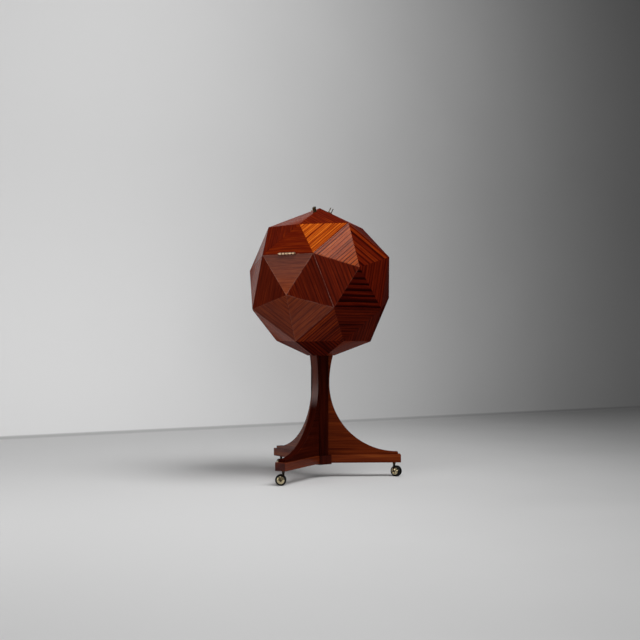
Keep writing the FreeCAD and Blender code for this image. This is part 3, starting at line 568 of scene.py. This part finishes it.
# %% The veneer of one panel
def striped_veneer(name, seed):
    """The finish of one panel: stripes along its boards' edges, rubbed paler on the arrises."""
    pitch, share, lightness, contrast, polish, rubbed = VENEER[name]
    material, shader, wire = finish("striped_veneer_" + name)
    board = on_boards(wire, name, seed)
    drift = marks(wire, board, DRIFT)
    dark, shade = stripes(wire, board, drift, pitch, share, seed)
    worn, joint = arrises(wire, board, name, rubbed)
    line = limited(wire, marks(wire, board, LINES), *LINE_LEVELS)
    pores = limited(wire, marks(wire, board, PORES), *PORE_LEVELS)
    grain = marks(wire, board, GRAIN) - 0.5
    figure = marks(wire, board, FIGURE)

    strong = picked(board.masks, contrast)
    striped = STRIPE_BASE - dark * STRIPE_DARK + (shade - 0.5) * STRIPE_SHADE - line * LINE_DARK
    veneer = picked(board.masks, lightness) + strong * striped
    veneer = veneer + (figure - 0.5) * FIGURE_SHADE + grain * GRAIN_SHADE - pores * PORE_DARK
    veneer = veneer + worn * WORN_AND_HIGHLIGHT_LIGHTEN - joint * JOINT_AND_GAP_SHADE_DARK
    # Painted sheen and shade that change from the edge to the tip
    if name in SHEEN_AND_SHADE_TO_TIP:
        to_tip = board.across / BOARD_HEIGHT
        veneer = veneer + picked(board.masks, SHEEN_AND_SHADE_TO_TIP[name]) * (to_tip - SHEEN_AND_SHADE_MIDDLE)
    plain = PLAIN_BASE + grain * PLAIN_GRAIN + (drift - 0.5) * PLAIN_DRIFT
    plain = plain - line * PLAIN_LINE - pores * PORE_DARK
    value = veneer + board.inside * (plain - veneer)
    colour = wire.node("ShaderNodeValToRGB", {"stops": VENEER_STOPS}, {"Fac": value})
    # A painted sheen: a reflection painted into some boards' colour
    if name in PAINTED_SHEEN:
        painted_sheen = picked(board.masks, PAINTED_SHEEN[name]) * (PAINTED_SHEEN_BASE + figure * PAINTED_SHEEN_FIGURE)
        colour = blended(wire, painted_sheen * (1 - board.inside), colour, PAINTED_SHEEN_TINT)
    # Worn arrises: pale from wear and from a painted highlight
    colour = blended(wire, worn * WORN_AND_HIGHLIGHT_SHARE, colour, WORN_AND_HIGHLIGHT_TINT)

    rough = WOOD_ROUGHNESS + grain * GRAIN_ROUGH + pores * PORE_ROUGH
    rough = rough + board.inside * INSIDE_ROUGH - worn * WORN_SMOOTH
    fade = limited(wire, board.across, *LACQUER_FADE)
    shine = picked(board.masks, polish) * fade * (1 - dark * strong * STRIPE_DULL)
    coat = (shine + worn * WORN_SHINE) * (1 - board.inside * INSIDE_DULL)
    bump = bumped(wire, *WOOD_BUMP, grain * GRAIN_HEIGHT - pores - joint * JOINT_DEPTH)
    feed(shader, Base_Color=colour, Roughness=rough, Coat_Weight=coat, Normal=bump, **LACQUER)
    return material


print("veneer ready for", len(PANELS), "panels")

# %% Veneer on the panels
FIRST_SEED = 11.0
SEED_STEP = 17.3


def dress(name, material):
    """Give a CAD node this finish alone."""
    nodes[name].data.materials.clear()
    nodes[name].data.materials.append(material)


for number, name in enumerate(PANELS):
    dress(name, striped_veneer(name, FIRST_SEED + SEED_STEP * number))
print("veneered", ", ".join(PANELS))

# %% [markdown]
# ## Plain mahogany
# The pedestal is mahogany: the grain runs out along the fins and the beams and up the column, the
# beams' sawn ends are darker, and the fins' curved edges are lipped with strips, pale and polished
# above, the pale partly painted sheen, and darker towards the feet with painted shade. One material
# with mixed coordinates could serve them all, but grain that ignores how a piece was sawn gives the
# game away, so each piece's finish gets the direction that its plank was cut in.

# %% Mahogany's colours and marks
MAHOGANY_STOPS = [
    (0.00, (0.010, 0.0012, 0.0008)),
    (0.35, (0.045, 0.0050, 0.0018)),
    (0.65, (0.130, 0.0200, 0.0042)),
    (1.00, (0.280, 0.0630, 0.0110)),
]
# Each kind of mark in a plank: its thickness, length and width in mm, and its detail
RIBBON = (60.0, 340.0, 17.0, 2.0)
STREAK = (8.0, 160.0, 3.2, 2.0)
PLANK_GRAIN = (1.0, 60.0, 0.9, 3.0)
PLANK_PORES = (0.5, 8.0, 0.5, 1.0)
# By how much each lightens or darkens the wood
RIBBON_SHADE = 0.72
STREAK_SHADE = 0.38
PLANK_GRAIN_SHADE = 0.18
PLANK_PORE_DARK = 0.07
# What grain adds to the roughness
PLANK_GRAIN_ROUGH = 0.14
# Sawn ends: how squarely a face looks along the grain, and how dark it then is
SAWN_END = (0.80, 0.95, 0.0, -0.26)
# Lipped edges: how squarely a face that isn't one looks sideways, the heights in mm between which a
# lip goes from painted shade to pale and then loses some shine, how pale it is, partly painted
# sheen, and how dark the painted shade is
FLAT_SIDE = (0.30, 0.60)
LIP_SHADE_TO_SHEEN = (305.0, 375.0)
LIP_SHINE = (365.0, 440.0, 1.35, 0.75)
LIP_PALE_AND_PAINTED_SHEEN = 0.30
LIP_PAINTED_SHADE = 0.08
print("mahogany from", MAHOGANY_STOPS[0][1], "to", MAHOGANY_STOPS[-1][1])

# %% Mahogany
def mahogany(name, along_axis, across_axis, lightness, seed, polish, lip=None):
    """Wood sawn along the first direction; the second is the plank's width. Its sawn ends are
    darker, or with a lip its edges have upright veneer of that polish."""
    third_axis = along_axis.cross(across_axis)
    material, shader, wire = finish(name)
    place = scaled(wire, wire.node("ShaderNodeTexCoord", out="Object"), MM)
    facing = wire.node("ShaderNodeNewGeometry", out="Normal")
    along = dot(wire, place, along_axis)
    across = dot(wire, place, across_axis)
    third = dot(wire, place, third_axis)
    if lip is None:
        end = wire.math("ABSOLUTE", dot(wire, facing, along_axis))
        tone = limited(wire, end, *SAWN_END)
        coat = polish
    else:
        side = wire.math("ABSOLUTE", dot(wire, facing, third_axis))
        flat = limited(wire, side, *FLAT_SIDE)
        above_shade = limited(wire, across, *LIP_SHADE_TO_SHEEN)
        bright = above_shade * limited(wire, across, *LIP_SHINE)
        # A lip is painted with shade low down and a pale, partly painted sheen above
        tone = (1 - flat) * (above_shade * LIP_PALE_AND_PAINTED_SHEEN - LIP_PAINTED_SHADE)
        coat = flat * polish + (1 - flat) * bright * lip
        along, across = across + flat * (along - across), third + flat * (across - third)
    ribbon, streak, grain, pores = [
        fibres(wire, along, across, third / thickness + seed, length, width, detail)
        for thickness, length, width, detail in (RIBBON, STREAK, PLANK_GRAIN, PLANK_PORES)]
    grain = grain - 0.5
    pores = limited(wire, pores, *PORE_LEVELS)
    value = lightness + tone + (ribbon - 0.5) * RIBBON_SHADE + (streak - 0.5) * STREAK_SHADE
    value = value + grain * PLANK_GRAIN_SHADE - pores * PLANK_PORE_DARK
    colour = wire.node("ShaderNodeValToRGB", {"stops": MAHOGANY_STOPS}, {"Fac": value})
    rough = WOOD_ROUGHNESS + grain * PLANK_GRAIN_ROUGH + pores * PORE_ROUGH
    bump = bumped(wire, *WOOD_BUMP, grain * GRAIN_HEIGHT - pores)
    feed(shader, Base_Color=colour, Roughness=rough, Coat_Weight=coat, Normal=bump, **LACQUER)
    return material


print("mahogany ready")

# %% Fins, beams, column and hub
# Lightness of fin and beam, and polish of fin, fin's edge and beam, for each leg; the front fin's
# low lightness is partly painted shade
LEGS = [
    (0.27, 0.60, 0.03, 0.62, 0.34),
    (0.55, 0.62, 0.02, 0.44, 0.06),
    (0.62, 0.66, 0.86, 0.60, 0.60),
]
# What sets the noise of the legs apart, and that of a beam from its fin's
LEG_SEED = 3.1
BEAM_SEED = 20
UP = Vector((0.0, 0.0, 1.0))
EAST = Vector((1.0, 0.0, 0.0))
NORTH = Vector((0.0, 1.0, 0.0))
for side, (fin, beam, fin_polish, edge_polish, beam_polish) in zip(SIDES, LEGS):
    angle = math.radians(leg_turn(side))
    out = Vector((math.cos(angle), math.sin(angle), 0.0))
    seed = LEG_SEED * side
    dress("fin_%d" % side,
          mahogany("mahogany_fin_%d" % side, out, UP, fin, seed, fin_polish, edge_polish))
    dress("foot_beam_%d" % side,
          mahogany("mahogany_beam_%d" % side, out, UP, beam, BEAM_SEED + seed, beam_polish))
dress("column", mahogany("mahogany_column", UP, EAST, lightness=0.21, seed=41.0, polish=0.01))
dress("hub", mahogany("mahogany_hub", UP, EAST, lightness=0.23, seed=47.0, polish=0.08))
print("pedestal dressed")

# %% [markdown]
# ## Inside
# The bottle floor, its cleats, the block in the bottom and the dowels don't show when the lids are
# shut. They are plain wood without much lacquer, so they take the same mahogany, duller.

# %% Inside wood
# Each piece's finish: its name, the directions of grain and width, lightness, seed and polish
INSIDE = {
    "bottle_floor": ("inner_floor", EAST, NORTH, 0.55, 61.0, 0.03),
    "floor_cleats": ("inner_cleats", EAST, UP, 0.60, 67.0, 0.0),
    "bottom_block": ("inner_block", EAST, NORTH, 0.52, 71.0, 0.0),
    "fin_dowels": ("inner_fin_dowels", EAST, UP, 0.75, 73.0, 0.0),
    "beam_dowels": ("inner_beam_dowels", EAST, UP, 0.75, 79.0, 0.0),
}
for name, plank in INSIDE.items():
    dress(name, mahogany(*plank))
print("inside dressed:", ", ".join(INSIDE))

# %% [markdown]
# ## Brass, steel and rubber
# Hinges, pulls and casters are brass: bright where it is handled, browner elsewhere, with painted
# shade between the hinges' knuckles and a dark hub round the axles, partly painted dark reflection.
# A flat metal colour looks like plastic, so a slow noise moves both the tint and the roughness, and
# a fast one leaves fine scratches. The darkening could be painted anywhere, but it sits round the
# joints, and their places and axes are in the frame.

# %% Where the brass is painted darker
# In mm: a knuckle's length and how far from the pin its painted shade reaches. The rest are pairs of
# distances in mm, and how dark the brass is painted at them
KNUCKLE = 16.06
BARREL_REACH = 5.5
KNUCKLE_GAP_SHADE = (0.8, 3.2, 1.0, 0.0)
HUB_DARK_AND_REFLECTION = (4.5, 8.5, 1.0, 0.0)
TYRE_EDGE_DARK = (14.0, 16.8, 0.0, 0.6)
joints = {joint["name"]: joint for joint in frame["joints"]}


def about_joint(wire, place, joint):
    """A joint's axis, a point's place about the joint and its distance from the axis, in mm."""
    axis = Vector(joint["axis"])
    off = scaled(wire, vector_math(wire, "SUBTRACT", place, joint["pos_m"]), MM)
    turned = vector_math(wire, "CROSS_PRODUCT", off, axis)
    radius = wire.node("ShaderNodeVectorMath", {"operation": "LENGTH"}, {0: turned}, out="Value")
    return axis, off, radius


def knuckle_gap_shade(wire, place, joint):
    """Painted shade in the gaps between a hinge's knuckles."""
    axis, off, radius = about_joint(wire, place, joint)
    phase = wire.math("FRACT", dot(wire, off, axis) / KNUCKLE + 0.5)
    from_gap = (0.5 - wire.math("ABSOLUTE", phase - 0.5)) * KNUCKLE
    return limited(wire, from_gap, *KNUCKLE_GAP_SHADE) * (radius < BARREL_REACH)


def hub_dark_and_reflection(wire, place, joint):
    """A dark hub round a wheel's axle, partly painted dark reflection, and darker brass next to its
    tyre.
    """
    radius = about_joint(wire, place, joint)[2]
    return limited(wire, radius, *HUB_DARK_AND_REFLECTION) + limited(wire, radius, *TYRE_EDGE_DARK)


print("dirt at", ", ".join(name for name in joints if "swivel" not in name))

# %% Metal
# Patches to a metre, and the levels of noise at which a patch begins and is full
PATCH_SCALE = 55.0
PATCH_LEVELS = (0.38, 0.66)
# Scratches to a metre, what sets their noise apart, their bump's strength and distance, and what
# they add to the roughness
SCRATCH_SCALE = 1400.0
SCRATCH_SEED = 7.0
SCRATCH_BUMP = (0.06, 0.0001)
SCRATCH_ROUGH = 0.08
# Darkening at a joint, painted shade or painted dark reflection: its tint, how much of it covers the
# metal where it is thickest, and its roughness
DARKENING_TINT = (0.040, 0.026, 0.014, 1.0)
DARKENING_SHARE = 0.9
DARKENING_ROUGH = 0.25


def metal(name, bright, dull, smooth, worn, seed, darkening=None, joint=None):
    """A metal between two tints and two roughnesses, in slow patches with fine scratches. A painted
    darkening, shade or dark reflection, lies on it at a joint."""
    material, shader, wire = finish(name)
    place = wire.node("ShaderNodeTexCoord", out="Object")
    patches = wire.node("ShaderNodeTexNoise", {"noise_dimensions": "4D"},
                        {"Vector": place, "W": seed, "Scale": PATCH_SCALE, "Detail": 3.0})
    scratches = wire.node("ShaderNodeTexNoise", {"noise_dimensions": "4D"},
                          {"Vector": place, "W": seed + SCRATCH_SEED, "Scale": SCRATCH_SCALE,
                           "Detail": 2.0})
    patch = limited(wire, patches, *PATCH_LEVELS)
    tint = blended(wire, patch, (*bright, 1.0), (*dull, 1.0))
    rough = smooth + patch * (worn - smooth) + (scratches - 0.5) * SCRATCH_ROUGH
    if darkening is not None:
        darkened = darkening(wire, place, joint)
        tint = blended(wire, darkened * DARKENING_SHARE, tint, DARKENING_TINT)
        rough = rough + darkened * DARKENING_ROUGH
    bump = bumped(wire, *SCRATCH_BUMP, scratches)
    feed(shader, Base_Color=tint, Metallic=1.0, Roughness=rough, Normal=bump)
    return material


print("metal ready")

# %% Brass and steel on their pieces
# Each metal's bright and dull tints, its roughness where it is smooth and worn, and its seed
screw_brass = metal("screw_brass", (0.74, 0.56, 0.38), (0.50, 0.36, 0.22), 0.28, 0.42, 1.0)
pull_brass = metal("pull_brass", (0.13, 0.092, 0.042), (0.050, 0.035, 0.017), 0.38, 0.52, 2.0)
dark_brass = metal("dark_brass", (0.040, 0.032, 0.022), (0.018, 0.014, 0.010), 0.35, 0.50, 4.0)
steel = metal("steel", (0.58, 0.57, 0.55), (0.36, 0.35, 0.33), 0.30, 0.45, 5.0)
for side in SIDES:
    hinge_brass = metal("hinge_brass_%d" % side, (0.74, 0.52, 0.34), (0.46, 0.31, 0.18),
                        0.28, 0.42, 5.0 + side, knuckle_gap_shade, joints["lid_%d_hinge" % side])
    # The casters' dull brass is dark, partly painted dark reflection in its patches
    caster_brass = metal("caster_brass_%d" % side, (0.62, 0.53, 0.34), (0.13, 0.105, 0.055),
                         0.06, 0.15, 9.0 + side, hub_dark_and_reflection, joints["wheel_%d_spin" % side])
    finishes = {
        "lid_hinge_leaf": hinge_brass,
        "body_hinge_leaf": hinge_brass,
        "lid_hinge_screws": screw_brass,
        "lid_handle": pull_brass,
        "handle_screw": pull_brass,
        "caster_wheel": caster_brass,
        "caster_horn": dark_brass,
        "caster_axle": steel,
    }
    for piece, material in finishes.items():
        dress("%s_%d" % (piece, side), material)
dress("hinge_pins", screw_brass)
dress("body_hinge_screws", screw_brass)
dress("caster_sockets", dark_brass)
for name in ("pedestal_screws", "pedestal_washers", "column_bolt", "column_washer"):
    dress(name, steel)
print("metal dressed")

# %% Tyres
RUBBER_BLACK = (0.003, 0.003, 0.003, 1.0)
RUBBER_GREY = (0.010, 0.0095, 0.009, 1.0)
RUBBER_ROUGHNESS = 0.55
RUBBER_SPECULAR = 0.12
# Dust and pits to a metre, the noise at which dust begins and is full, what it adds to the
# roughness, and the pits' bump
DUST_SCALE = 90.0
DUST_LEVELS = (0.45, 0.75)
DUST_ROUGH = 0.25
PIT_SCALE = 900.0
PIT_BUMP = (0.15, 0.0002)


def rubber(name):
    """Black rubber, a little grey where it has rolled."""
    material, shader, wire = finish(name)
    place = wire.node("ShaderNodeTexCoord", out="Object")
    dust = wire.node("ShaderNodeTexNoise", None,
                     {"Vector": place, "Scale": DUST_SCALE, "Detail": 4.0, "Roughness": 0.65})
    pits = wire.node("ShaderNodeTexNoise", None,
                     {"Vector": place, "Scale": PIT_SCALE, "Detail": 2.0})
    grey = limited(wire, dust, *DUST_LEVELS)
    feed(shader, Base_Color=blended(wire, grey, RUBBER_BLACK, RUBBER_GREY),
         Roughness=RUBBER_ROUGHNESS + grey * DUST_ROUGH, Normal=bumped(wire, *PIT_BUMP, pits),
         Specular_IOR_Level=RUBBER_SPECULAR)
    return material


tyre = rubber("tyre_rubber")
for side in SIDES:
    dress("caster_tyre_%d" % side, tyre)
bare = [n for n, o in nodes.items() if not o.data.materials]
print("tyres dressed; nodes without a finish:", bare)

# %% [markdown]
# ## Floor and backdrop
# The cabinet stands on a plain pale sheet: a floor that bends up into a backdrop. A floor alone
# would do, but the ball's grazing facets mirror what stands behind it, so the backdrop belongs to
# the look. Its matt paint deepens to the right as painted shade, is lighter low on the wall as
# painted light and has a painted shadow line at the bend, so that the light can stay even. Seen
# from behind it is clear, so it never hides the cabinet.

# %% Backdrop
CAMERA_AIM = Vector((-math.sin(CAMERA_HEADING), math.cos(CAMERA_HEADING), 0.0))
CAMERA_RIGHT = Vector((math.cos(CAMERA_HEADING), math.sin(CAMERA_HEADING), 0.0))
# Two places on the wall's foot, to the right of the camera and ahead of it, in metres
EYE = Vector((camera.location.x, camera.location.y, 0.0))
WALL_LEFT = EYE + CAMERA_RIGHT * -1.99 + CAMERA_AIM * 6.59
WALL_RIGHT = EYE + CAMERA_RIGHT * 2.93 + CAMERA_AIM * 9.70
# The sheet: its ends along the wall from the first place, and its profile, in metres
SHEET_ENDS = (-5.0, 8.5)
WALL_HEIGHT = 6.0
FLOOR_DEPTH = 6.8
BEND = 0.03
BEND_STEPS = 8


def backdrop_sheet():
    """Wall, bend and floor, drawn as a profile and swept along the wall's foot."""
    run = (WALL_RIGHT - WALL_LEFT).normalized()
    inward = Vector((run.y, -run.x, 0.0))
    profile = [(0.0, WALL_HEIGHT), (0.0, BEND)]
    for step in range(1, BEND_STEPS + 1):
        turn = math.radians(90.0 * step / BEND_STEPS)
        profile.append((BEND - BEND * math.cos(turn), BEND - BEND * math.sin(turn)))
    profile.append((FLOOR_DEPTH, 0.0))
    points = []
    for shift in SHEET_ENDS:
        foot = WALL_LEFT + run * shift
        points += [foot + inward * d + UP * z for d, z in profile]
    count = len(profile)
    faces = [(k, k + 1, count + k + 1, count + k) for k in range(count - 1)]
    mesh = bpy.data.meshes.new("backdrop")
    mesh.from_pydata(points, [], faces)
    if mesh.polygons[0].normal.dot(inward) < 0:
        mesh.flip_normals()
    mesh.polygons.foreach_set("use_smooth", [True] * len(mesh.polygons))
    return bpy.data.objects.new("backdrop", mesh)


print("backdrop from", tuple(round(c, 2) for c in WALL_LEFT), "to",
      tuple(round(c, 2) for c in WALL_RIGHT))

# %% Pale paint
# Each is two places in metres, to the right or up, and the paint's grey, or a factor, at them:
# painted shade that deepens to the right, and painted light that lifts the wall most near its foot
FLOOR_GREY_AND_PAINTED_SHADE = (-0.4, 2.4, 0.66, 0.32)
WALL_GREY_AND_PAINTED_SHADE = (-1.65, 3.15, 0.72, 0.28)
WALL_PAINTED_LIGHT = (0.2, 2.0, 1.32, 1.12)
FLOOR_TO_WALL = (BEND * 0.5, BEND)
# The bend's painted shadow line: the heights at which it begins, and how dark it is
FOOT_SHADOW_START = (0.0005, BEND * 0.3)
FOOT_PAINTED_SHADOW = 0.22
# Unevenness of the greys: patches to a metre, and how far they shift them, in metres
MOTTLE_SCALE = 1.3
MOTTLE = 0.3
PAINT_ROUGHNESS = 0.85
PAINT_SPECULAR = 0.15


def pale_paint():
    """Matt pale grey, with painted shade that deepens to the right, painted light low on the wall and
    a painted shadow line at the bend; clear from behind.
    """
    material, shader, wire = finish("pale_paint")
    place = wire.node("ShaderNodeTexCoord", out="Object")
    mottle = wire.node("ShaderNodeTexNoise", None,
                       {"Vector": place, "Scale": MOTTLE_SCALE, "Detail": 2.0})
    sideways = dot(wire, place, CAMERA_RIGHT) + (mottle - 0.5) * MOTTLE
    height = dot(wire, place, UP)
    floor = limited(wire, sideways, *FLOOR_GREY_AND_PAINTED_SHADE)
    wall = limited(wire, sideways, *WALL_GREY_AND_PAINTED_SHADE) * limited(wire, height, *WALL_PAINTED_LIGHT)
    grey = floor + limited(wire, height, *FLOOR_TO_WALL) * (wall - floor)
    # A painted shadow line along the bend
    foot = limited(wire, height, *FLOOR_TO_WALL, FOOT_PAINTED_SHADOW, 0.0)
    foot = foot * limited(wire, height, *FOOT_SHADOW_START)
    feed(shader, Base_Color=grey * (1 - foot), Roughness=PAINT_ROUGHNESS,
         Specular_IOR_Level=PAINT_SPECULAR)
    behind = wire.node("ShaderNodeNewGeometry", out="Backfacing")
    clear = wire.node("ShaderNodeBsdfTransparent")
    mixed = wire.node("ShaderNodeMixShader", None,
                      {0: behind, 1: Wire(wire.tree, shader.outputs[0]), 2: clear})
    wire.tree.links.new(mixed.socket, wire.tree.nodes["Material Output"].inputs["Surface"])
    return material


backdrop = backdrop_sheet()
backdrop.data.materials.append(pale_paint())
bpy.context.scene.collection.objects.link(backdrop)
print("backdrop painted, from", FLOOR_GREY_AND_PAINTED_SHADE[2], "to", FLOOR_GREY_AND_PAINTED_SHADE[3], "on the floor")

# %% [markdown]
# ## Light
# A large soft box stands high on the right, in front: it puts the pale sheen on the striped panel
# and throws the soft shadow to the left. One above the camera and a low one on the left fill the
# shaded boards, and a card near the camera shows in the brass. A single lamp could light the
# cabinet, but lacquer shows what stands round it, so it needs some large pale things to mirror. The
# world gives little light, and it is a plain grey where the camera sees it past the backdrop or
# brass mirrors it.

# %% Lamps
LAMP_AIM = Vector((0.0, 0.0, 0.80))
# Each lamp's place about the line of sight, in degrees to the right and up, its distance, width and
# height in metres, and its power in watts
LAMPS = {
    "key_box": (54.0, 60.0, 4.5, 2.6, 2.6, 168.0),
    "front_box": (-5.0, 58.0, 3.2, 2.0, 1.2, 33.0),
    "left_box": (-55.0, 6.0, 3.0, 1.4, 2.0, 14.0),
    "front_card": (5.0, 5.0, 5.5, 1.6, 1.0, 32.0),
}


def soft_box(name, turn, rise, distance, width, height, power):
    """A rectangular lamp that looks at the cabinet."""
    a, e = math.radians(turn), math.radians(rise)
    level = (CAMERA_RIGHT * math.sin(a) - CAMERA_AIM * math.cos(a)) * math.cos(e)
    lamp = bpy.data.lights.new(name, "AREA")
    lamp.shape = "RECTANGLE"
    lamp.size = width
    lamp.size_y = height
    lamp.energy = power
    holder = bpy.data.objects.new(name, lamp)
    holder.location = LAMP_AIM + (level + UP * math.sin(e)) * distance
    holder.rotation_euler = (LAMP_AIM - holder.location).to_track_quat("-Z", "Y").to_euler()
    bpy.context.scene.collection.objects.link(holder)


for name, settings in LAMPS.items():
    soft_box(name, *settings)

# %% World
WORLD_LIGHT = (0.032, 0.032, 0.032, 1.0)
WORLD_SEEN = (0.25, 0.25, 0.25, 1.0)
SEEN_BY = ("Is Camera Ray", "Is Glossy Ray", "Is Transmission Ray")

world = bpy.data.worlds.new("studio")
world.use_nodes = True
bpy.context.scene.world = world
sky = Wire(world.node_tree)
seen = extreme(sky, [sky.node("ShaderNodeLightPath", out=ray) for ray in SEEN_BY], "MAXIMUM")
feed(world.node_tree.nodes["Background"], Color=blended(sky, seen, WORLD_LIGHT, WORLD_SEEN))
print("world gives", WORLD_LIGHT[0], "and shows as", WORLD_SEEN[0])

# %% [markdown]
# ## End

# %% Close
print("done")
